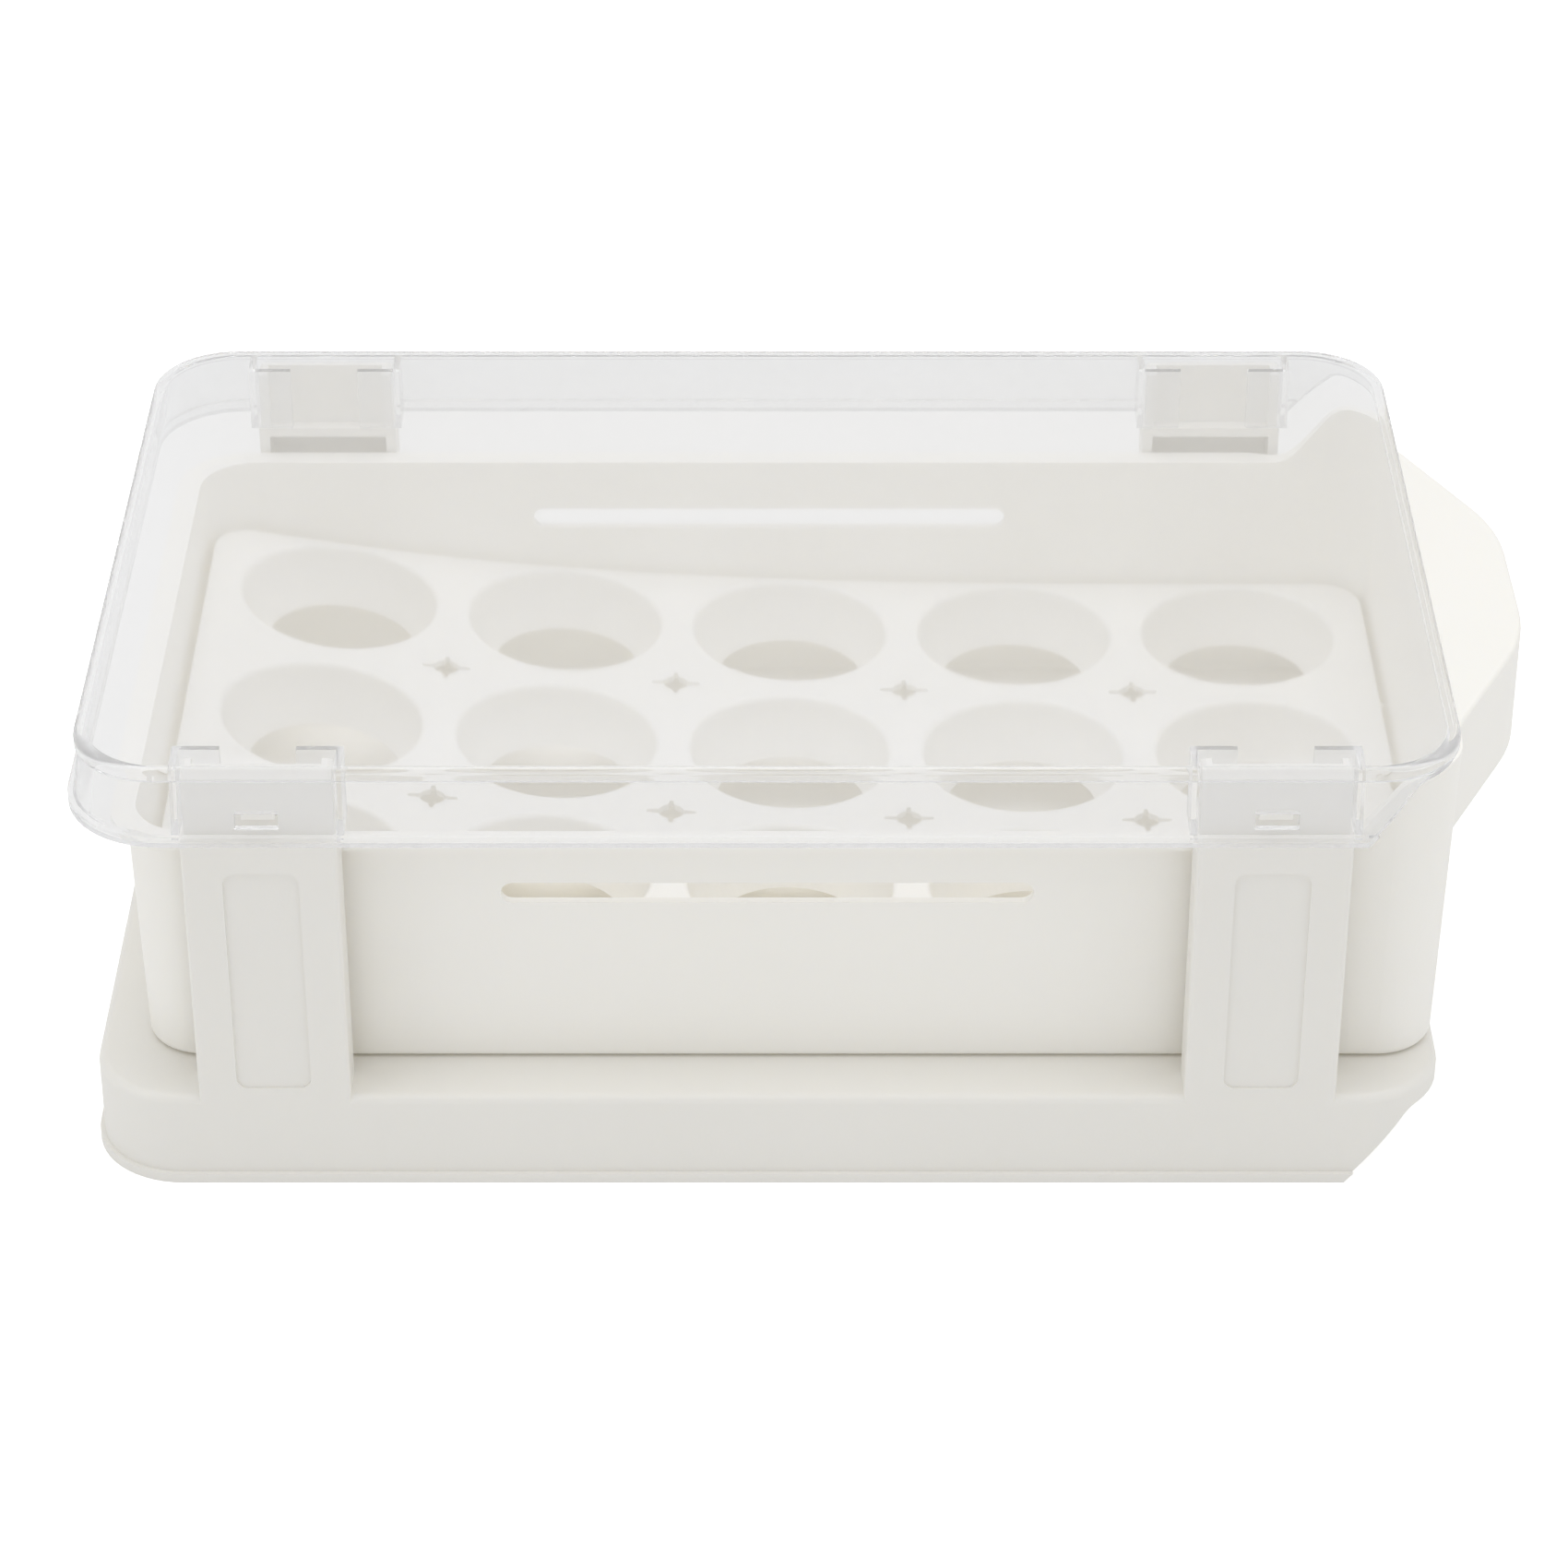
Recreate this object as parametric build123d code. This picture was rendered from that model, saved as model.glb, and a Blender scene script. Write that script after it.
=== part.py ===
from build123d import *
import math
import os

# Stacking egg box: base with posts, clear lid, sliding drawer and egg tray.
# Millimetres. Drawn about the middle of the base's footprint and moved by centre_shift when saved,
# so that the origin is in the middle of the whole box's footprint, pull included, on the shelf.
# The drawer opens to +X.

# egg cups
cup_columns = 5
cup_rows = 3
cup_rim_radius = 21.25
cup_land = 7.5
cup_hole_radius = 16.2
cup_depth = 12.5
cup_bulge = 0.9
cup_rim_round = 1.0

# egg tray
tray_wall = 1.4
tray_edge_x = 7.75
tray_edge_y = 1.85
tray_corner = 9.0
tray_lip = 3.0
vent_core = 5.6
vent_arm_length = 9.4
vent_arm_width = 2.2

# gaps between pieces
rest_gap = 0.3
tray_gap = 1.5
drawer_side_gap = 0.7
pocket_gap = 0.7
end_wall_gap = 4.05

# drawer
drawer_wall = 1.9
drawer_floor = 1.9
drawer_corner = 12.0
drawer_draft = 1.46
drawer_offset = 4.65
drawer_height = 54.7
drawer_bottom_round = 1.5
tray_level = 25.05
rim_flange = 3.0
rim_thickness = 1.8
rise_slope = 52.0
rise_round = 7.0
rim_fade_before = 8.0
rim_fade_after = 10.0
slot_length = 106.4
slot_height = 4.8
slot_below_rim = 13.95
rib_thickness = 1.6
rib_reach = 5.0

# pull
pull_reach = 19.0
pull_inset = 16.6
pull_flank_slope = 2.0
pull_nose_round = 45.0
pull_root_round = 12.0
pull_wall = 2.0
pull_depth = 25.0
pull_edge_round = 0.8
pull_root_sink = 0.3
pull_root_overlap = 1.2

# base
base_margin_x = 3.85
base_corner = 18.0
base_wall = 2.0
base_height = 20.65
deck_thickness = 2.0
deck_edge_round = 1.8
base_lip = 1.0
base_lip_height = 2.2
deck_rib_height = 7.0
deck_rib_thickness = 1.6
deck_rib_spacing = 60.0
base_end_rim = 5.1

# posts
post_width = 30.7
post_inset = 37.65
post_web = 2.0
post_flange = 2.3
post_depth = 8.8
post_headroom = 6.1
post_cap = 2.2
post_edge_round = 0.8
panel_side = 7.85
panel_bottom = 2.2
panel_top = 6.9
panel_depth = 0.5
panel_round = 2.5
tongue_inset = 0.65
tongue_headroom = 0.95
tongue_setback = 3.6
tongue_wall = 2.0
nib_width = 6.6
nib_height = 1.8
nib_proud = 1.2
nib_level = 4.3
nib_root = 0.5

# lid
lid_height = 16.55
lid_plate = 1.7
lid_wall = 1.6
bead_inset = 0.7
bead_height = 2.9
bead_step = 0.8
bead_round = 1.5
skirt_flare = 1.9
lip_proud = 1.1
lip_height = 2.2
pocket_wall = 1.4
pocket_window = 15.0
pocket_lift = 0.7
catch_gap = 0.7
catch_side_gap = 1.0
lid_end_rim = 4.8

# slanted cut of the skirts at the drawer's end, the same on base and lid
cut_gap = 1.25
cut_slope = 50.0
cut_round = 4.0

# construction: a length past everything a cut goes through, and how near counts as the same place
beyond = 60.0
near = 0.01

# lengths that follow from the ones above
cup_pitch = 2 * cup_rim_radius + cup_land
tray_x = cup_columns * cup_pitch - cup_land + 2 * tray_edge_x
tray_y = cup_rows * cup_pitch - cup_land + 2 * tray_edge_y
draft_slope = math.tan(math.radians(drawer_draft))
floor_x = tray_x + 2 * (tray_gap + drawer_wall - tray_level * draft_slope)
floor_y = tray_y + 2 * (tray_gap + drawer_wall - tray_level * draft_slope)
rim_x = floor_x + 2 * drawer_height * draft_slope
rim_y = floor_y + 2 * drawer_height * draft_slope
channel_half = rim_y / 2 + rim_flange + drawer_side_gap
base_half_x = rim_x / 2 + base_margin_x
base_half_y = channel_half + post_depth
post_x = base_half_x - post_inset
post_height = drawer_height + post_headroom
drawer_z = base_height + rest_gap
tray_z = drawer_z + tray_level
shoulder_z = base_height + post_height
lid_z = shoulder_z + rest_gap
lid_top = lid_z + lid_height
lid_under = lid_top - lid_plate
end_top = lid_top - lid_end_rim - end_wall_gap
end_height = end_top - drawer_z
rim_z = drawer_z + drawer_height
tongue_width = post_width - 2 * tongue_inset
tongue_top = lid_under - tongue_headroom
pocket_half = tongue_width / 2 + pocket_gap + pocket_wall
rise_start = post_x + pocket_half
cut_start = rise_start + cut_gap
rise_end = rise_start + (end_top - rim_z) / math.tan(math.radians(rise_slope))
bead_x = base_half_x - bead_inset
bead_y = base_half_y - bead_inset
lid_wall_x = bead_x - bead_step + skirt_flare
lid_wall_y = bead_y - bead_step + skirt_flare
pull_bottom = end_top - pull_depth
pull_root = drawer_offset + floor_x / 2 + (pull_bottom - drawer_z) * draft_slope - pull_root_sink
end_x = max(base_half_x + base_lip, lid_wall_x + lip_proud)
centre_shift = (end_x - pull_root - pull_reach) / 2


def outline(half_x, half_y, corner):
    return RectangleRounded(2 * half_x, 2 * half_y, corner)


def prism(face, bottom, top):
    return Pos(0, 0, bottom) * extrude(face, amount=top - bottom)


def block(x_low, x_high, y_low, y_high, z_low, z_high):
    middle = Pos((x_low + x_high) / 2, (y_low + y_high) / 2, (z_low + z_high) / 2)
    return middle * Box(x_high - x_low, y_high - y_low, z_high - z_low)


def side_profile(points, rounds):
    """Area in the XZ plane, with a radius on the numbered corners."""
    area = make_face(Polyline(*points, close=True))
    for number, radius in rounds:
        x, z = points[number]
        corner = [v for v in area.vertices() if abs(v.X - x) < near and abs(v.Y - z) < near]
        area = fillet(corner, radius)
    return extrude(Plane.XZ * area, amount=beyond * 2, both=True)


def end_cut(bottom, top):
    """What is taken off a skirt at the drawer's end, below the rim at top."""
    run = (top - bottom) / math.tan(math.radians(cut_slope))
    far = base_half_x + beyond
    points = [
        (cut_start, bottom),
        (cut_start + run, top),
        (far, top),
        (far, bottom - beyond),
        (cut_start, bottom - beyond),
    ]
    return side_profile(points, [(1, cut_round)])


def at_four_posts(one):
    """Copies a piece built at the front right post to all four posts."""
    back = mirror(one, Plane.XZ)
    return [one, back, mirror(one, Plane.YZ), mirror(back, Plane.YZ)]


def post():
    front = -base_half_y
    back = -channel_half
    left = post_x - post_width / 2
    right = post_x + post_width / 2
    foot = base_height - deck_thickness
    column = block(left, right, front, back, foot, shoulder_z)
    column = fillet(column.edges().filter_by(Axis.Z).group_by(Axis.Y)[0], post_edge_round)
    hollow_top = shoulder_z - post_cap
    column -= block(
        left + post_flange, right - post_flange, front + post_web, back + beyond, foot, hollow_top
    )
    column -= block(left, right, front + post_web, back, foot, base_height)
    panel_height = post_height - panel_bottom - panel_top
    panel = Plane.XZ * RectangleRounded(post_width - 2 * panel_side, panel_height, panel_round)
    panel_middle = Pos(post_x, front, base_height + panel_bottom + panel_height / 2)
    column -= panel_middle * extrude(panel, amount=panel_depth, both=True)
    return column + tongue()


def tongue():
    front = -base_half_y + tongue_setback
    back = -channel_half - rest_gap
    left = post_x - tongue_width / 2
    right = post_x + tongue_width / 2
    foot = shoulder_z - post_cap / 2
    shape = block(left, right, front, back, foot, tongue_top)
    shape = chamfer(shape.edges().group_by(Axis.Z)[-1], post_edge_round)
    shape -= block(
        left + tongue_wall, right - tongue_wall, front + tongue_wall, back + beyond,
        shoulder_z, tongue_top,
    )
    low = shoulder_z + nib_level
    root = front + nib_root
    nib = Polyline(
        (root, low), (front - nib_proud, low), (front, low + nib_height),
        (root, low + nib_height), close=True,
    )
    wedge = extrude(Plane.YZ * make_face(nib), amount=nib_width / 2, both=True)
    return shape + Pos(post_x, 0, 0) * wedge


def base_with_posts():
    under_deck = base_height - deck_thickness
    body = prism(outline(base_half_x, base_half_y, base_corner), 0, base_height)
    body = fillet(body.edges().group_by(Axis.Z)[-1], deck_edge_round)
    lip = outline(base_half_x + base_lip, base_half_y + base_lip, base_corner + base_lip)
    body += prism(lip, 0, base_lip_height)
    inner_x = base_half_x - base_wall
    inner_y = base_half_y - base_wall
    body -= prism(outline(inner_x, inner_y, base_corner - base_wall), 0, under_deck)
    half = deck_rib_thickness / 2
    low = under_deck - deck_rib_height
    for x in (-deck_rib_spacing, 0, deck_rib_spacing):
        body += block(x - half, x + half, -inner_y, inner_y, low, under_deck)
    for y in (-deck_rib_spacing / 2, deck_rib_spacing / 2):
        body += block(-inner_x, inner_x, y - half, y + half, low, under_deck)
    for one in at_four_posts(post()):
        body += one
    return body - end_cut(0, base_height - base_end_rim)


def skirt_solid(half_x, half_y, corner, top):
    """The lid's skirt as a full solid: straight lip part, then drawing in to the top."""
    straight = prism(outline(half_x, half_y, corner), lid_z, lid_z + lip_height)
    lean = math.degrees(math.atan(skirt_flare / (lid_top - bead_height - lid_z - lip_height)))
    upper = extrude(outline(half_x, half_y, corner), amount=top - lid_z - lip_height, taper=lean)
    return straight + Pos(0, 0, lid_z + lip_height) * upper


def pocket():
    """Walls round the tongue of the front right post, open in the middle of the inner side."""
    left = post_x - pocket_half
    right = post_x + pocket_half
    inner = -channel_half + pocket_gap - rest_gap
    low = lid_z + pocket_lift
    outer = -base_half_y - lip_proud
    walls = block(left, right, outer, inner + pocket_wall, low, lid_under)
    walls -= block(left + pocket_wall, right - pocket_wall, outer, inner, low, lid_under)
    half = pocket_window / 2
    return walls - block(post_x - half, post_x + half, inner, inner + pocket_wall, low, lid_under)


def clear_lid():
    corner = base_corner - bead_inset
    flared = corner + skirt_flare
    skirt = skirt_solid(lid_wall_x, lid_wall_y, flared, lid_top - bead_height)
    bead = prism(outline(bead_x, bead_y, corner), lid_top - bead_height, lid_top)
    bead = fillet(bead.edges().group_by(Axis.Z)[-1], bead_round)
    lip = prism(
        outline(lid_wall_x + lip_proud, lid_wall_y + lip_proud, flared + lip_proud),
        lid_z, lid_z + lip_height,
    )
    envelope = skirt + bead + lip
    hollow = skirt_solid(lid_wall_x - lid_wall, lid_wall_y - lid_wall, flared - lid_wall, lid_under)
    body = envelope - hollow
    catch_half = nib_width / 2 + catch_side_gap
    catch_low = shoulder_z + nib_level - catch_gap
    catch_top = shoulder_z + nib_level + nib_height + catch_gap
    window = block(
        post_x - catch_half, post_x + catch_half, -base_half_y - beyond / 2, -channel_half - tongue_wall,
        catch_low, catch_top,
    )
    for walls in at_four_posts(pocket()):
        body += walls & envelope
    for hole in at_four_posts(window):
        body -= hole
    return body - end_cut(lid_z, lid_top - lid_end_rim)


def above_rim(drop):
    """Everything above the drawer's top edge, lowered by drop; the edge rises at the pull's end."""
    far = base_half_x + beyond
    points = [
        (-far, rim_z - drop),
        (rise_start, rim_z - drop),
        (rise_end, end_top - drop),
        (far, end_top - drop),
        (far, end_top + beyond),
        (-far, end_top + beyond),
    ]
    return side_profile(points, [(1, rise_round), (2, rise_round)])


def rim():
    """Outward flange along the low part of the drawer's top edge, fading out at the rise."""
    reach_y = rim_y / 2 + rim_flange
    plan = Pos(drawer_offset, 0) * outline(rim_x / 2 + rim_flange, reach_y, drawer_corner + rim_flange)
    fade_start = rise_start - rim_fade_before
    fade_end = rise_start + rim_fade_after
    inner_y = rim_y / 2 - drawer_wall / 2
    far = base_half_x + beyond
    keep = make_face(Polyline(
        (-far, -reach_y), (fade_start, -reach_y), (fade_end, -inner_y),
        (fade_end, inner_y), (fade_start, reach_y), (-far, reach_y), close=True,
    ))
    sheet = extrude(plan & keep, amount=beyond)
    sheet = Pos(0, 0, rim_z - rim_thickness) * sheet
    return (sheet & above_rim(rim_thickness)) - above_rim(0)


def pull():
    """Hollow D-shaped grip: a flat top with a skirt hanging from it, open underneath."""
    shell = prism(plan_of_pull(0), pull_bottom, end_top)
    shell = fillet(shell.edges().group_by(Axis.Z)[-1].group_by(Axis.X)[-1], pull_edge_round)
    return shell - prism(plan_of_pull(pull_wall), pull_bottom, end_top - pull_wall)


def plan_of_pull(shrink):
    """Outline of the grip drawn in by shrink, on a strip that sinks into the drawer's wall."""
    full_half = rim_y / 2 - pull_inset
    strip_half = full_half + pull_root_round / 2
    back = pull_root - pull_root_overlap
    nose = pull_root + pull_reach - shrink
    root_half = full_half - shrink * math.hypot(1, pull_flank_slope)
    nose_half = root_half - pull_flank_slope * (pull_reach - shrink)
    area = make_face(Polyline(
        (pull_root, -root_half), (nose, -nose_half), (nose, nose_half), (pull_root, root_half),
        (pull_root, strip_half), (back, strip_half), (back, -strip_half), (pull_root, -strip_half),
        close=True,
    ))
    nose_corners = [v for v in area.vertices() if abs(v.X - nose) < near]
    area = fillet(nose_corners, pull_nose_round - shrink)
    root_corners = [
        v for v in area.vertices() if abs(v.X - pull_root) < near and abs(v.Y) < root_half + near
    ]
    return fillet(root_corners, pull_root_round)


def tray_ribs():
    """Upright ribs inside the drawer that the tray's edge rests on."""
    half = rib_thickness / 2
    top = tray_z - tray_lip - rest_gap
    wall_y = floor_y / 2 - drawer_wall / 2
    wall_x = floor_x / 2 - drawer_wall / 2
    in_y = floor_y / 2 - drawer_wall - rib_reach
    in_x = floor_x / 2 - drawer_wall - rib_reach
    ribs = []
    for number in range(1, cup_columns):
        x = drawer_offset + (number - cup_columns / 2) * cup_pitch
        ribs.append(block(x - half, x + half, in_y, wall_y, drawer_z, top))
        ribs.append(block(x - half, x + half, -wall_y, -in_y, drawer_z, top))
    for number in range(1, cup_rows):
        y = (number - cup_rows / 2) * cup_pitch
        ribs.append(block(drawer_offset + in_x, drawer_offset + wall_x, y - half, y + half, drawer_z, top))
        ribs.append(block(drawer_offset - wall_x, drawer_offset - in_x, y - half, y + half, drawer_z, top))
    return ribs


def sliding_drawer():
    floor = outline(floor_x / 2, floor_y / 2, drawer_corner)
    tub = extrude(floor, amount=end_height, taper=-drawer_draft)
    tub = fillet(tub.edges().group_by(Axis.Z)[0], drawer_bottom_round)
    tub = Pos(drawer_offset, 0, drawer_z) * tub
    inset = drawer_wall - drawer_floor * draft_slope
    hollow_face = outline(floor_x / 2 - inset, floor_y / 2 - inset, drawer_corner - inset)
    hollow = extrude(hollow_face, amount=end_height, taper=-drawer_draft)
    hollow = Pos(drawer_offset, 0, drawer_z + drawer_floor) * hollow
    body = (tub - above_rim(0)) + rim() + pull() - hollow
    slot = extrude(Plane.XZ * SlotOverall(slot_length, slot_height), amount=rim_y, both=True)
    body -= Pos(0, 0, rim_z - slot_below_rim) * slot
    for rib in tray_ribs():
        body += rib
    return body


def cup(grow):
    """The bowl of one cup as a full solid below the plate's top face, grown by grow."""
    rim_radius = cup_rim_radius + grow
    hole_radius = cup_hole_radius + grow
    middle = (rim_radius + hole_radius) / 2 + cup_bulge
    edge = Line((0, 0), (rim_radius, 0))
    edge += ThreePointArc((rim_radius, 0), (middle, -cup_depth / 2), (hole_radius, -cup_depth))
    edge += Polyline((hole_radius, -cup_depth), (0, -cup_depth), (0, 0))
    return revolve(Plane.XZ * make_face(edge), Axis.Z)


def cup_places():
    return [
        Pos((column - (cup_columns - 1) / 2) * cup_pitch, (row - (cup_rows - 1) / 2) * cup_pitch, 0)
        for column in range(cup_columns)
        for row in range(cup_rows)
    ]


def vent():
    area = Circle(vent_core / 2)
    area += Rectangle(vent_arm_length, vent_arm_width)
    area += Rectangle(vent_arm_width, vent_arm_length)
    return extrude(area, amount=tray_wall * 2, both=True)


def vent_places():
    return [
        Pos((column - cup_columns / 2) * cup_pitch, (row - cup_rows / 2) * cup_pitch, 0)
        for column in range(1, cup_columns)
        for row in range(1, cup_rows)
    ]


def egg_cup_tray():
    plate = extrude(outline(tray_x / 2, tray_y / 2, tray_corner), amount=-tray_lip)
    plate = fillet(plate.edges().group_by(Axis.Z)[-1], cup_rim_round)
    inner = outline(tray_x / 2 - tray_wall, tray_y / 2 - tray_wall, tray_corner - tray_wall)
    plate -= Pos(0, 0, -tray_wall) * extrude(inner, amount=-tray_lip)
    bowl = cup(tray_wall)
    bore = cup(0)
    for place in cup_places():
        plate += place * bowl
    for place in cup_places():
        plate -= place * bore
    rims = [
        e for e in plate.edges().filter_by(GeomType.CIRCLE)
        if abs(e.radius - cup_rim_radius) < near and abs(e.center().Z) < near
    ]
    plate = fillet(rims, cup_rim_round)
    for place in vent_places():
        plate -= place * vent()
    return Pos(drawer_offset, 0, tray_z) * plate


def save(shape, name):
    export_step(Pos(centre_shift, 0, 0) * shape, os.path.join("parts", name + ".step"))


os.makedirs("parts", exist_ok=True)
save(base_with_posts(), "base_with_posts")
save(clear_lid(), "clear_lid")
save(sliding_drawer(), "sliding_drawer")
save(egg_cup_tray(), "egg_cup_tray")
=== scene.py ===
import math

import bpy
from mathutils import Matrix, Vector


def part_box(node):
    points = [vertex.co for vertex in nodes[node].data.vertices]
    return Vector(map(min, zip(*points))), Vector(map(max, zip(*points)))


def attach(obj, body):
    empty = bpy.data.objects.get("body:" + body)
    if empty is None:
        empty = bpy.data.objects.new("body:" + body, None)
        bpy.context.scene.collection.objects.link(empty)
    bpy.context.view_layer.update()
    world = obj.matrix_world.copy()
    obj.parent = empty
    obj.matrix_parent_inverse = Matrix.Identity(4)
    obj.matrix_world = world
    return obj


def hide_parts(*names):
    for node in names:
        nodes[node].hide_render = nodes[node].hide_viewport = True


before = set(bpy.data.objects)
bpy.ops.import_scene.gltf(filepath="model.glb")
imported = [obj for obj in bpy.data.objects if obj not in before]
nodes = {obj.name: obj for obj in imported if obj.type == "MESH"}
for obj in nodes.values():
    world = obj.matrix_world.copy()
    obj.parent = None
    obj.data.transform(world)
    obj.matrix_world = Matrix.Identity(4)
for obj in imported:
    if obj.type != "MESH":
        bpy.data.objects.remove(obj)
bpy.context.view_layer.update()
print("frame loaded:", sorted(nodes))
millimetre = 0.001


def newMaterial(name):
    material = bpy.data.materials.new(name)
    material.use_nodes = True
    material.node_tree.nodes.clear()
    return material


def addNode(tree, kind, at, **settings):
    node = tree.nodes.new(kind)
    node.location = at
    for key, value in settings.items():
        setattr(node, key, value)
    return node


def dress(obj, material):
    if not obj.data.materials:
        obj.data.materials.append(material)
    for slot in obj.material_slots:
        slot.material = material


# cream moulded plastic: one recipe; the drawer gets a lighter copy and the thin tray the lightest,
# painted light that makes up for the light the lid and walls keep from the inside of the box
creamLook = {
    "name": "creamPlastic",
    "colour": (0.88, 0.865, 0.825, 1.0),
    "shade": (0.86, 0.845, 0.8, 1.0),
    "roughness": (0.34, 0.46),
    "cloudScale": 22.0,
    "cloudDetail": 4.0,
    "grainScale": 1400.0,
    "grainDetail": 2.0,
    "grainDepth": 0.00002,
    "flowScale": 5.0,
    "flowDetail": 1.0,
    "flowDepth": 0.0004,
    "subsurface": 0.12,
    "subsurfaceRadius": (1.0, 0.92, 0.72),
    "subsurfaceScale": 0.003,
    "throughLight": 0.0,
    "ior": 1.49,
}
drawerPaintedLightLook = {
    **creamLook,
    "name": "paintedLightDrawerPlastic",
    # painted light: the drawer's colour is lifted above the base's to brighten its walls and inside,
    # which the lid and posts keep in shade
    "colour": (0.962, 0.945, 0.9, 1.0),
    "shade": (0.945, 0.928, 0.875, 1.0),
}
trayPaintedLightLook = {
    **creamLook,
    "name": "paintedLightTrayPlastic",
    # painted light: the tray's colour is lifted further to stand in for the light it loses under the
    # clear lid
    "colour": (0.985, 0.975, 0.95, 1.0),
    "shade": (0.975, 0.965, 0.935, 1.0),
    "throughLight": 0.15,
    "throughColour": (0.99, 0.985, 0.96, 1.0),
}


def makePlastic(look):
    material = newMaterial(look["name"])
    tree = material.node_tree
    link = tree.links.new
    out = addNode(tree, "ShaderNodeOutputMaterial", (900, 0))
    skin = addNode(tree, "ShaderNodeBsdfPrincipled", (600, 0))
    surface = skin.outputs["BSDF"]
    if look["throughLight"] > 0:  # some light comes through thin walls
        through = addNode(tree, "ShaderNodeBsdfTranslucent", (600, -500))
        through.inputs["Color"].default_value = look["throughColour"]
        wall = addNode(tree, "ShaderNodeMixShader", (750, 0))
        wall.inputs["Fac"].default_value = look["throughLight"]
        link(surface, wall.inputs[1])
        link(through.outputs["BSDF"], wall.inputs[2])
        surface = wall.outputs["Shader"]
    link(surface, out.inputs["Surface"])
    place = addNode(tree, "ShaderNodeTexCoord", (-900, 0))
    cloud = addNode(tree, "ShaderNodeTexNoise", (-600, 120))
    cloud.inputs["Scale"].default_value = look["cloudScale"]
    cloud.inputs["Detail"].default_value = look["cloudDetail"]
    link(place.outputs["Object"], cloud.inputs["Vector"])
    tint = addNode(tree, "ShaderNodeMix", (100, 160), data_type="RGBA")
    tint.inputs["A"].default_value = look["shade"]
    tint.inputs["B"].default_value = look["colour"]
    link(cloud.outputs["Fac"], tint.inputs["Factor"])
    link(tint.outputs["Result"], skin.inputs["Base Color"])
    sheen = addNode(tree, "ShaderNodeMapRange", (100, -60))
    sheen.inputs["To Min"].default_value = look["roughness"][0]
    sheen.inputs["To Max"].default_value = look["roughness"][1]
    link(cloud.outputs["Fac"], sheen.inputs["Value"])
    link(sheen.outputs["Result"], skin.inputs["Roughness"])
    flow = addNode(tree, "ShaderNodeTexNoise", (-600, -260))  # wide ripples that moulded walls have
    flow.inputs["Scale"].default_value = look["flowScale"]
    flow.inputs["Detail"].default_value = look["flowDetail"]
    link(place.outputs["Object"], flow.inputs["Vector"])
    ripple = addNode(tree, "ShaderNodeBump", (100, -260))
    ripple.inputs["Distance"].default_value = look["flowDepth"]
    link(flow.outputs["Fac"], ripple.inputs["Height"])
    grain = addNode(tree, "ShaderNodeTexNoise", (-600, -480))
    grain.inputs["Scale"].default_value = look["grainScale"]
    grain.inputs["Detail"].default_value = look["grainDetail"]
    link(place.outputs["Object"], grain.inputs["Vector"])
    bump = addNode(tree, "ShaderNodeBump", (300, -260))
    bump.inputs["Distance"].default_value = look["grainDepth"]
    link(grain.outputs["Fac"], bump.inputs["Height"])
    link(ripple.outputs["Normal"], bump.inputs["Normal"])
    link(bump.outputs["Normal"], skin.inputs["Normal"])
    skin.inputs["Subsurface Weight"].default_value = look["subsurface"]
    skin.inputs["Subsurface Radius"].default_value = look["subsurfaceRadius"]
    skin.inputs["Subsurface Scale"].default_value = look["subsurfaceScale"]
    skin.inputs["IOR"].default_value = look["ior"]
    return material


# clear plastic of the lid: glassy, with a milky haze; lamp light and soft light pass straight through
clearLook = {
    "name": "clearPlastic",
    "tint": (0.985, 0.986, 0.99, 1.0),
    "lampTint": (0.995, 0.995, 0.998, 1.0),
    "haze": 0.24,
    "hazeColour": (0.96, 0.962, 0.968, 1.0),
    "glow": 0.5,
    "roughness": (0.02, 0.055),
    "smearScale": 30.0,
    "smearDetail": 3.0,
    "ior": 1.49,
}


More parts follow.
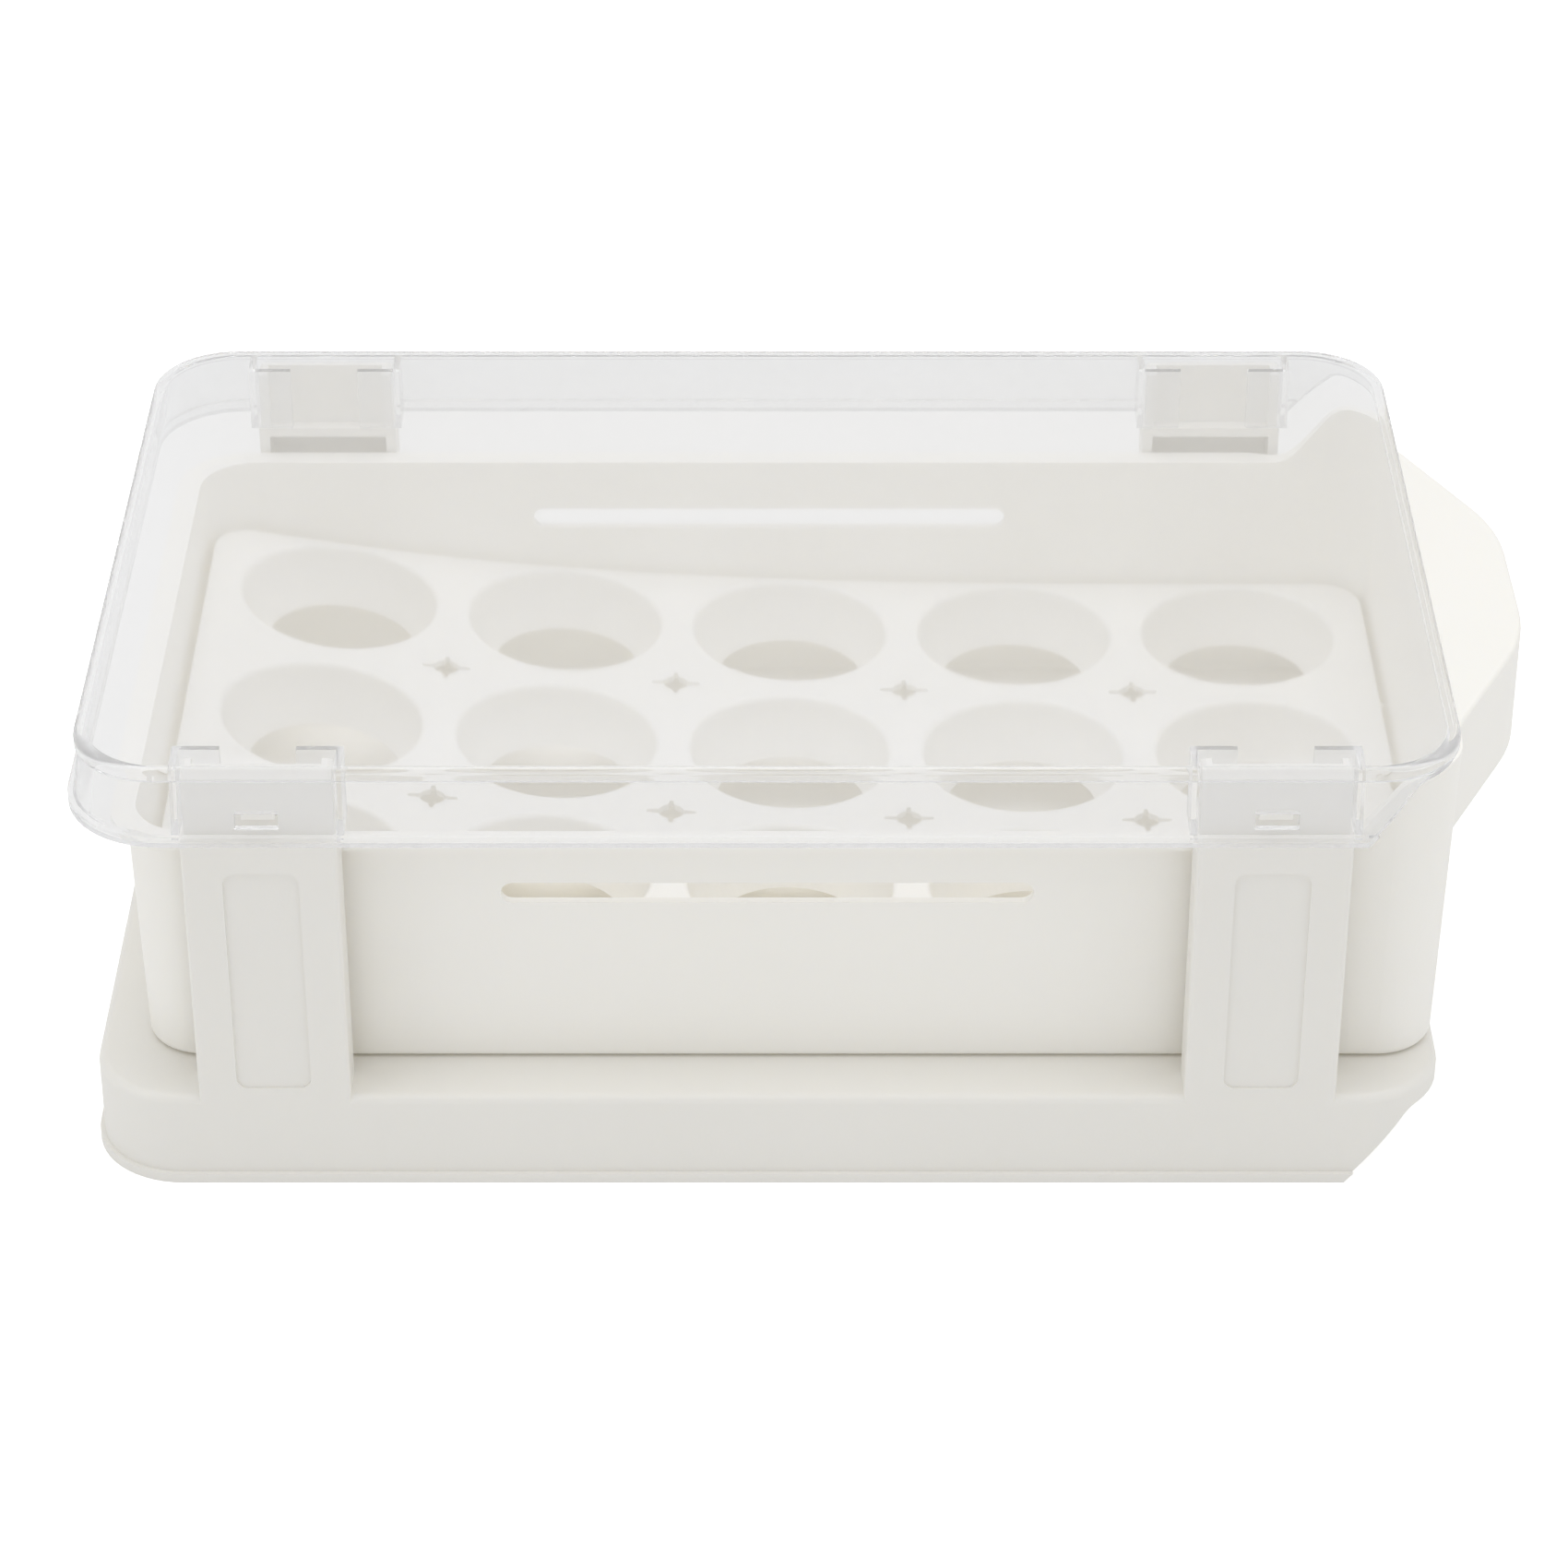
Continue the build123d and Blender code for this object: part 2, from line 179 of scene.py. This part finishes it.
def makeClear(look):
    material = newMaterial(look["name"])
    tree = material.node_tree
    link = tree.links.new
    out = addNode(tree, "ShaderNodeOutputMaterial", (1100, 0))
    pick = addNode(tree, "ShaderNodeMixShader", (900, 0))
    link(pick.outputs["Shader"], out.inputs["Surface"])
    rays = addNode(tree, "ShaderNodeLightPath", (600, 300))
    lamp = addNode(tree, "ShaderNodeBsdfTransparent", (600, -200))
    lamp.inputs["Color"].default_value = look["lampTint"]
    place = addNode(tree, "ShaderNodeTexCoord", (-700, 0))
    smear = addNode(tree, "ShaderNodeTexNoise", (-500, 0))
    smear.inputs["Scale"].default_value = look["smearScale"]
    smear.inputs["Detail"].default_value = look["smearDetail"]
    link(place.outputs["Object"], smear.inputs["Vector"])
    frost = addNode(tree, "ShaderNodeMapRange", (-200, 0))
    frost.inputs["To Min"].default_value = look["roughness"][0]
    frost.inputs["To Max"].default_value = look["roughness"][1]
    link(smear.outputs["Fac"], frost.inputs["Value"])
    glass = addNode(tree, "ShaderNodeBsdfGlass", (100, 0))
    glass.inputs["Color"].default_value = look["tint"]
    glass.inputs["IOR"].default_value = look["ior"]
    link(frost.outputs["Result"], glass.inputs["Roughness"])
    milk = addNode(tree, "ShaderNodeBsdfDiffuse", (100, -160))
    milk.inputs["Color"].default_value = look["hazeColour"]
    through = addNode(tree, "ShaderNodeBsdfTranslucent", (100, -300))
    through.inputs["Color"].default_value = look["hazeColour"]
    haze = addNode(tree, "ShaderNodeMixShader", (350, -200))
    haze.inputs["Fac"].default_value = look["glow"]
    link(milk.outputs["BSDF"], haze.inputs[1])
    link(through.outputs["BSDF"], haze.inputs[2])
    body = addNode(tree, "ShaderNodeMixShader", (600, 0))
    body.inputs["Fac"].default_value = look["haze"]
    link(glass.outputs["BSDF"], body.inputs[1])
    link(haze.outputs["Shader"], body.inputs[2])
    bare = addNode(tree, "ShaderNodeMath", (750, 300), operation="MAXIMUM")  # soft light goes through
    link(rays.outputs["Is Shadow Ray"], bare.inputs[0])
    link(rays.outputs["Is Diffuse Ray"], bare.inputs[1])
    link(bare.outputs[0], pick.inputs["Fac"])
    link(body.outputs["Shader"], pick.inputs[1])
    link(lamp.outputs["BSDF"], pick.inputs[2])
    return material


cream = makePlastic(creamLook)
paintedLightDrawer = makePlastic(drawerPaintedLightLook)
paintedLightTray = makePlastic(trayPaintedLightLook)
clear = makeClear(clearLook)
dress(nodes["base_with_posts"], cream)
dress(nodes["sliding_drawer"], paintedLightDrawer)
dress(nodes["clear_lid"], clear)
print("materials done")

# the egg cup tray: sizes in millimetres, its top face and outline come from the frame
trayLow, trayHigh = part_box("egg_cup_tray")
eggTray = {
    "Columns": 5,
    "Rows": 3,
    "Length": (trayHigh.x - trayLow.x) / millimetre,
    "Width": (trayHigh.y - trayLow.y) / millimetre,
    "Cup Depth": (trayHigh.z - trayLow.z) / millimetre,
    "Corner": 9.0,
    "Wall": 1.4,
    "Lip": 3.0,
    "Edge Spacing": 1.5,
    "Cup Pitch": 50.0,
    "Mouth Radius": 21.25,
    "Mouth Round": 1.2,
    "Hole Radius": 16.2,
    "Bulge": 0.9,
    "Around": 72,
    "Down": 20,
    "Vent Core": 5.4,
    "Vent Length": 10.4,
    "Vent Width": 8.4,
    "Vent Arm": 2.2,
    "Vent Taper": 0.62,
    "Vent Around": 32,
    "Corner Steps": 8,
    "Edge Round": 0.47,
    "Edge Sink": 0.05,
    "Weld": 0.001,
    "Crowding": 1.8,
    "Crease": 32.0,
    "Curl": 0.143,
    "Curl Back": 0.013,
}
wholeNumbers = ("Columns", "Rows", "Around", "Down", "Vent Around", "Corner Steps")
plainNumbers = ("Vent Taper", "Edge Round", "Crowding", "Crease")


# puts nodes into one tree, so that a shape reads as a row of calls
class NodeBench:
    def __init__(self, tree):
        self.tree = tree
        self.count = 0
        self.perRow = 12  # how many nodes stand side by side

    def put(self, kind, sockets=None, **settings):
        self.count += 1
        column, row = self.count % self.perRow, self.count // self.perRow
        node = addNode(self.tree, kind, (column * 220, row * -260), **settings)
        for name, value in (sockets or {}).items():
            self.plug(node.inputs[name], value)
        return node

    def plug(self, socket, value):
        if isinstance(value, bpy.types.NodeSocket):
            self.tree.links.new(value, socket)
        else:
            socket.default_value = value

    def calc(self, operation, *values):
        node = self.put("ShaderNodeMath", operation=operation)
        for socket, value in zip(node.inputs, values):
            self.plug(socket, value)
        return node.outputs[0]

    def vector(self, x=0.0, y=0.0, z=0.0):
        return self.put("ShaderNodeCombineXYZ", {"X": x, "Y": y, "Z": z}).outputs[0]

    # where each point of the shape is
    def place(self):
        position = self.put("GeometryNodeInputPosition").outputs[0]
        return self.put("ShaderNodeSeparateXYZ", {"Vector": position})

    def moved(self, geometry, **where):
        return self.put("GeometryNodeTransform", {
            "Geometry": geometry, "Translation": self.vector(**where),
        }).outputs[0]

    # copies of shape on a grid of columns and rows, pitch apart
    def spread(self, shape, columns, rows, pitch):
        grid = self.put("GeometryNodeMeshGrid", {
            "Size X": self.calc("MULTIPLY", self.calc("SUBTRACT", columns, 1.0), pitch),
            "Size Y": self.calc("MULTIPLY", self.calc("SUBTRACT", rows, 1.0), pitch),
            "Vertices X": columns,
            "Vertices Y": rows,
        }).outputs["Mesh"]
        copies = self.put("GeometryNodeInstanceOnPoints", {"Points": grid, "Instance": shape})
        return self.put("GeometryNodeRealizeInstances", {"Geometry": copies.outputs[0]}).outputs[0]

    def combine(self, operation, first, *others):
        node = self.put("GeometryNodeMeshBoolean", operation=operation, solver="MANIFOLD")
        if operation == "DIFFERENCE":
            self.plug(node.inputs["Mesh 1"], first)
        else:
            self.plug(node.inputs["Mesh 2"], first)
        for other in others:
            self.plug(node.inputs["Mesh 2"], other)
        return node.outputs["Mesh"]


# inner radius of a cup at a depth below the mouth: a straight taper with a slight belly
def cupRadius(bench, down, inputs):
    share = bench.calc("DIVIDE", down, inputs["Cup Depth"])
    rest = bench.calc("SUBTRACT", 1.0, share)
    drop = bench.calc("SUBTRACT", inputs["Mouth Radius"], inputs["Hole Radius"])
    straight = bench.calc("SUBTRACT", inputs["Mouth Radius"], bench.calc("MULTIPLY", drop, share))
    fullest = 4.0  # makes share times rest come to 1 half way down
    belly = bench.calc("MULTIPLY", bench.calc("MULTIPLY", share, rest), fullest)
    return bench.calc("ADD", straight, bench.calc("MULTIPLY", belly, inputs["Bulge"]))


# a closed turned solid: rings of a cylinder moved to a radius and a height for each ring
def turned(bench, radiusAt, heightAt, around, down):
    tube = bench.put("GeometryNodeMeshCylinder", {
        "Vertices": around, "Side Segments": down, "Radius": 1.0, "Depth": 1.0,
    }, fill_type="NGON").outputs["Mesh"]
    place = bench.place()
    share = bench.calc("SUBTRACT", 0.5, place.outputs["Z"])  # 0 at the top ring, 1 at the bottom one
    radius = radiusAt(share)
    spot = bench.vector(
        x=bench.calc("MULTIPLY", place.outputs["X"], radius),
        y=bench.calc("MULTIPLY", place.outputs["Y"], radius),
        z=heightAt(share),
    )
    return bench.put("GeometryNodeSetPosition", {"Geometry": tube, "Position": spot}).outputs[0]


# what is taken out for one cup, from just above the plate to just below the cup's open bottom
def cupBore(bench, inputs):
    rings = inputs["Down"]
    first = bench.calc("DIVIDE", 1.0, rings)
    span = bench.calc("SUBTRACT", 1.0, bench.calc("MULTIPLY", first, 2.0))
    past = 1.0 * millimetre  # how far the bore runs out at each end

    def depthAt(share):
        part = bench.calc("DIVIDE", bench.calc("SUBTRACT", share, first), span)
        part = bench.calc("MINIMUM", bench.calc("MAXIMUM", part, 0.0), 1.0)
        part = bench.calc("POWER", part, inputs["Crowding"])  # rings crowd near the rounded mouth
        return bench.calc("MULTIPLY", part, inputs["Cup Depth"])

    def radiusAt(share):
        down = depthAt(share)
        above = bench.calc("MAXIMUM", bench.calc("SUBTRACT", inputs["Mouth Round"], down), 0.0)
        radiusSquared = bench.calc("POWER", inputs["Mouth Round"], 2.0)
        square = bench.calc("SUBTRACT", radiusSquared, bench.calc("POWER", above, 2.0))
        inward = bench.calc("SQRT", bench.calc("MAXIMUM", square, 0.0))
        flare = bench.calc("SUBTRACT", inputs["Mouth Round"], inward)
        return bench.calc("ADD", cupRadius(bench, down, inputs), flare)

    def heightAt(share):
        halfRing = bench.calc("MULTIPLY", first, 0.5)
        top = bench.calc("MULTIPLY", bench.calc("LESS_THAN", share, halfRing), past)
        last = bench.calc("SUBTRACT", 1.0, halfRing)
        bottom = bench.calc("MULTIPLY", bench.calc("GREATER_THAN", share, last), past)
        lower = bench.calc("ADD", depthAt(share), bottom)
        return bench.calc("SUBTRACT", top, lower)

    return turned(bench, radiusAt, heightAt, inputs["Around"], rings)


# the outside of one cup, from inside the plate's thickness down to its open bottom
def cupBowl(bench, inputs):
    half = bench.calc("MULTIPLY", inputs["Wall"], 0.5)

    def depthAt(share):
        run = bench.calc("SUBTRACT", inputs["Cup Depth"], half)
        return bench.calc("ADD", half, bench.calc("MULTIPLY", run, share))

    def radiusAt(share):
        return bench.calc("ADD", cupRadius(bench, depthAt(share), inputs), inputs["Wall"])

    def heightAt(share):
        return bench.calc("MULTIPLY", depthAt(share), -1.0)

    rings = bench.calc("MULTIPLY", inputs["Down"], 0.5)
    return turned(bench, radiusAt, heightAt, inputs["Around"], rings)


# two opposite arms of a vent, thinner towards their tips
def ventBar(bench, inputs, length, depth):
    bar = bench.put("GeometryNodeMeshCube", {
        "Size": bench.vector(x=length, y=inputs["Vent Arm"], z=depth), "Vertices X": 3,
    }).outputs["Mesh"]
    place = bench.place()
    out = bench.calc("DIVIDE", bench.calc("ABSOLUTE", place.outputs["X"]), length)
    narrowing = bench.calc("MULTIPLY", bench.calc("MULTIPLY", out, 2.0), inputs["Vent Taper"])
    thinner = bench.calc("MULTIPLY", bench.calc("MULTIPLY", place.outputs["Y"], narrowing), -1.0)
    return bench.put("GeometryNodeSetPosition", {
        "Geometry": bar, "Offset": bench.vector(y=thinner),
    }).outputs[0]


# a round hole with four tapering arms
def ventCutter(bench, inputs):
    depth = bench.calc("MULTIPLY", inputs["Wall"], 4.0)
    core = bench.put("GeometryNodeMeshCylinder", {
        "Vertices": inputs["Vent Around"],
        "Radius": bench.calc("MULTIPLY", inputs["Vent Core"], 0.5),
        "Depth": depth,
    }, fill_type="NGON").outputs["Mesh"]
    longBar = ventBar(bench, inputs, inputs["Vent Length"], depth)
    crossBar = bench.put("GeometryNodeTransform", {
        "Geometry": ventBar(bench, inputs, inputs["Vent Width"], depth),
        "Rotation": (0.0, 0.0, math.radians(90)),
    }).outputs[0]
    return bench.combine("UNION", core, longBar, crossBar)


# the plate with its turned-down edge, top face at height 0
def trayPlate(bench, inputs):
    wall = inputs["Wall"]
    outline = bench.put("GeometryNodeCurvePrimitiveQuadrilateral", {
        "Width": bench.calc("SUBTRACT", inputs["Length"], wall),
        "Height": bench.calc("SUBTRACT", inputs["Width"], wall),
    }).outputs[0]
    outline = bench.put("GeometryNodeFilletCurve", {
        "Curve": outline, "Count": inputs["Corner Steps"],
        "Radius": bench.calc("SUBTRACT", inputs["Corner"], bench.calc("MULTIPLY", wall, 0.5)),
    }, mode="POLY").outputs[0]
    outline = bench.put("GeometryNodeResampleCurve", {
        "Curve": outline, "Length": inputs["Edge Spacing"],
    }, mode="LENGTH").outputs[0]
    sheet = bench.put("GeometryNodeFillCurve", {"Curve": outline}, mode="NGONS").outputs[0]
    sheet = bench.moved(sheet, z=bench.calc("MULTIPLY", wall, -1.0))
    top = bench.put("GeometryNodeExtrudeMesh", {
        "Mesh": sheet, "Offset": bench.vector(z=wall), "Offset Scale": 1.0, "Individual": False,
    }).outputs["Mesh"]
    under = bench.put("GeometryNodeFlipFaces", {"Mesh": sheet}).outputs[0]
    slab = bench.put("GeometryNodeJoinGeometry", {"Geometry": top})
    bench.plug(slab.inputs[0], under)
    slab = bench.put("GeometryNodeMergeByDistance", {
        "Geometry": slab.outputs[0], "Distance": inputs["Weld"],
    }).outputs[0]
    profile = bench.put("GeometryNodeCurvePrimitiveQuadrilateral", {
        "Width": wall, "Height": inputs["Lip"],
    }).outputs[0]
    profile = bench.put("GeometryNodeFilletCurve", {
        "Curve": profile,
        "Count": inputs["Corner Steps"],
        "Radius": bench.calc("MULTIPLY", wall, inputs["Edge Round"]),
    }, mode="POLY").outputs[0]
    edge = bench.put("GeometryNodeCurveToMesh", {
        "Curve": outline, "Profile Curve": profile,
    }).outputs[0]
    sink = bench.calc("ADD", bench.calc("MULTIPLY", inputs["Lip"], 0.5), inputs["Edge Sink"])
    edge = bench.moved(edge, z=bench.calc("MULTIPLY", sink, -1.0))
    return bench.combine("UNION", slab, edge)


# the plate springs up towards the end away from the pull, a little more at the back
def curled(bench, shape, inputs):
    place = bench.place()
    pitch = inputs["Cup Pitch"]
    lastColumn = bench.calc("MULTIPLY", bench.calc("SUBTRACT", inputs["Columns"], 1.0), 0.5)
    away = bench.calc("SUBTRACT", lastColumn, bench.calc("DIVIDE", place.outputs["X"], pitch))
    bend = 3.0  # the rise grows with this power of the way from the last column
    away = bench.calc("POWER", bench.calc("MAXIMUM", away, 0.0), bend)
    back = bench.calc("MULTIPLY", bench.calc("DIVIDE", place.outputs["Y"], pitch), inputs["Curl Back"])
    rise = bench.calc("MULTIPLY", away, bench.calc("ADD", inputs["Curl"], back))
    return bench.put("GeometryNodeSetPosition", {
        "Geometry": shape, "Offset": bench.vector(z=rise),
    }).outputs[0]


def trayTree(sizes):
    tree = bpy.data.node_groups.new("eggTrayTree", "GeometryNodeTree")
    face = tree.interface
    face.new_socket("Geometry", in_out="INPUT", socket_type="NodeSocketGeometry")
    for name in sizes:
        kind = "NodeSocketInt" if name in wholeNumbers else "NodeSocketFloat"
        face.new_socket(name, in_out="INPUT", socket_type=kind)
    face.new_socket("Plastic", in_out="INPUT", socket_type="NodeSocketMaterial")
    face.new_socket("Geometry", in_out="OUTPUT", socket_type="NodeSocketGeometry")
    bench = NodeBench(tree)
    inputs = bench.put("NodeGroupInput").outputs
    columns, rows, pitch = inputs["Columns"], inputs["Rows"], inputs["Cup Pitch"]
    bowls = bench.spread(cupBowl(bench, inputs), columns, rows, pitch)
    bores = bench.spread(cupBore(bench, inputs), columns, rows, pitch)
    ventColumns = bench.calc("SUBTRACT", columns, 1.0)
    ventRows = bench.calc("SUBTRACT", rows, 1.0)
    vents = bench.spread(ventCutter(bench, inputs), ventColumns, ventRows, pitch)
    body = bench.combine("UNION", trayPlate(bench, inputs), bowls)
    body = bench.combine("DIFFERENCE", body, bores, vents)
    body = bench.put("GeometryNodeTriangulate", {"Mesh": body}).outputs[0]
    body = curled(bench, body, inputs)
    corner = bench.put("GeometryNodeInputMeshEdgeAngle").outputs["Unsigned Angle"]
    soft = bench.calc("LESS_THAN", corner, bench.calc("RADIANS", inputs["Crease"]))
    body = bench.put("GeometryNodeSetShadeSmooth", {
        "Geometry": body, "Selection": soft, "Shade Smooth": True,
    }, domain="EDGE").outputs[0]
    body = bench.put("GeometryNodeRealizeInstances", {"Geometry": body}).outputs[0]
    body = bench.put("GeometryNodeSetMaterial", {
        "Geometry": body, "Material": inputs["Plastic"],
    }).outputs[0]
    bench.put("NodeGroupOutput", {"Geometry": body})
    return tree


def makeEggTray(sizes):
    seed = bpy.data.meshes.new("eggTraySeed")
    holder = bpy.data.objects.new("eggTraySeed", seed)
    bpy.context.scene.collection.objects.link(holder)
    grower = holder.modifiers.new("eggTray", "NODES")
    grower.node_group = trayTree(sizes)
    for item in grower.node_group.interface.items_tree:
        if item.in_out != "INPUT" or item.name == "Geometry":
            continue
        if item.name == "Plastic":
            grower[item.identifier] = paintedLightTray
        elif item.name in wholeNumbers or item.name in plainNumbers:
            grower[item.identifier] = sizes[item.name]
        else:
            grower[item.identifier] = sizes[item.name] * millimetre
    ready = holder.evaluated_get(bpy.context.evaluated_depsgraph_get())
    mesh = bpy.data.meshes.new_from_object(ready)
    mesh.name = "eggCupTray"
    bpy.data.objects.remove(holder)
    middle = (trayLow + trayHigh) / 2
    for vertex in mesh.vertices:
        vertex.co += Vector((middle.x, middle.y, trayHigh.z))
    tray = bpy.data.objects.new("eggCupTray", mesh)
    bpy.context.scene.collection.objects.link(tray)
    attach(tray, "tray")
    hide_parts("egg_cup_tray")
    return tray


tray = makeEggTray(eggTray)
print("egg tray done:", len(tray.data.polygons), "faces")

# floor, lights and camera
studio = {
    "floorHalf": 3.0,
    "floorColour": (0.80, 0.80, 0.80, 1.0),
    "floorGlow": (0.14, 0.6),
    "worldColour": (1.0, 1.0, 1.0, 1.0),
    "worldStrength": 0.6,
    "bounces": 24,
    "lensMillimetres": 110.77,
    "cameraPlace": (-0.005517, -0.87976, 0.5933),
    "cameraTilt": 57.783,
    "sensorWidth": 36.0,
    "nearestSeen": 0.01,
    "lampAim": (0.0, 0.0, 0.05),
    "lamps": (
        # name, place, size, watts
        ("topSoftbox", (0.0, 0.1, 1.6), 1.6, 11.0),
        ("leftSoftbox", (-1.4, -0.7, 0.9), 1.0, 2.5),
        ("rightSoftbox", (1.4, -0.5, 0.9), 1.0, 2.0),
    ),
}


def makeStudio(s):
    half = s["floorHalf"]
    mesh = bpy.data.meshes.new("studioFloor")
    corners = [(-half, -half, 0), (half, -half, 0), (half, half, 0), (-half, half, 0)]
    mesh.from_pydata(corners, [], [(0, 1, 2, 3)])
    floor = bpy.data.objects.new("studioFloor", mesh)
    bpy.context.scene.collection.objects.link(floor)
    paper = newMaterial("palePaper")
    tree = paper.node_tree
    out = addNode(tree, "ShaderNodeOutputMaterial", (300, 0))
    matte = addNode(tree, "ShaderNodeBsdfPrincipled", (0, 0))
    matte.inputs["Base Color"].default_value = s["floorColour"]
    matte.inputs["Roughness"].default_value = 1.0
    matte.inputs["Specular IOR Level"].default_value = 0.0
    rays = addNode(tree, "ShaderNodeLightPath", (-400, -200))
    lift = addNode(tree, "ShaderNodeMapRange", (-200, -200))
    lift.inputs["To Min"].default_value = s["floorGlow"][0]
    lift.inputs["To Max"].default_value = s["floorGlow"][1]
    tree.links.new(rays.outputs["Is Camera Ray"], lift.inputs["Value"])
    matte.inputs["Emission Color"].default_value = s["worldColour"]
    tree.links.new(lift.outputs[0], matte.inputs["Emission Strength"])
    tree.links.new(matte.outputs["BSDF"], out.inputs["Surface"])
    dress(floor, paper)
    world = bpy.data.worlds.new("studioWorld")
    world.use_nodes = True
    sky = world.node_tree.nodes["Background"]
    sky.inputs["Color"].default_value = s["worldColour"]
    sky.inputs["Strength"].default_value = s["worldStrength"]
    bpy.context.scene.world = world
    for name, place, size, watts in s["lamps"]:
        light = bpy.data.lights.new(name, "AREA")
        light.shape = "SQUARE"
        light.size = size
        light.energy = watts
        lamp = bpy.data.objects.new(name, light)
        lamp.location = place
        aim = Vector(s["lampAim"]) - Vector(place)
        lamp.rotation_euler = aim.to_track_quat("-Z", "Y").to_euler()
        bpy.context.scene.collection.objects.link(lamp)
    lens = bpy.data.cameras.new("mainCamera")
    lens.sensor_width = s["sensorWidth"]
    lens.lens = s["lensMillimetres"]
    lens.clip_start = s["nearestSeen"]
    camera = bpy.data.objects.new("mainCamera", lens)
    camera.location = s["cameraPlace"]
    camera.rotation_euler = (math.radians(s["cameraTilt"]), 0.0, 0.0)
    bpy.context.scene.collection.objects.link(camera)
    bpy.context.scene.camera = camera
    bpy.context.scene.view_settings.view_transform = "Standard"
    paths = bpy.context.scene.cycles  # light goes many times round between such pale walls
    paths.max_bounces = s["bounces"]
    paths.diffuse_bounces = s["bounces"]
    paths.transmission_bounces = s["bounces"]


makeStudio(studio)
print("studio done")
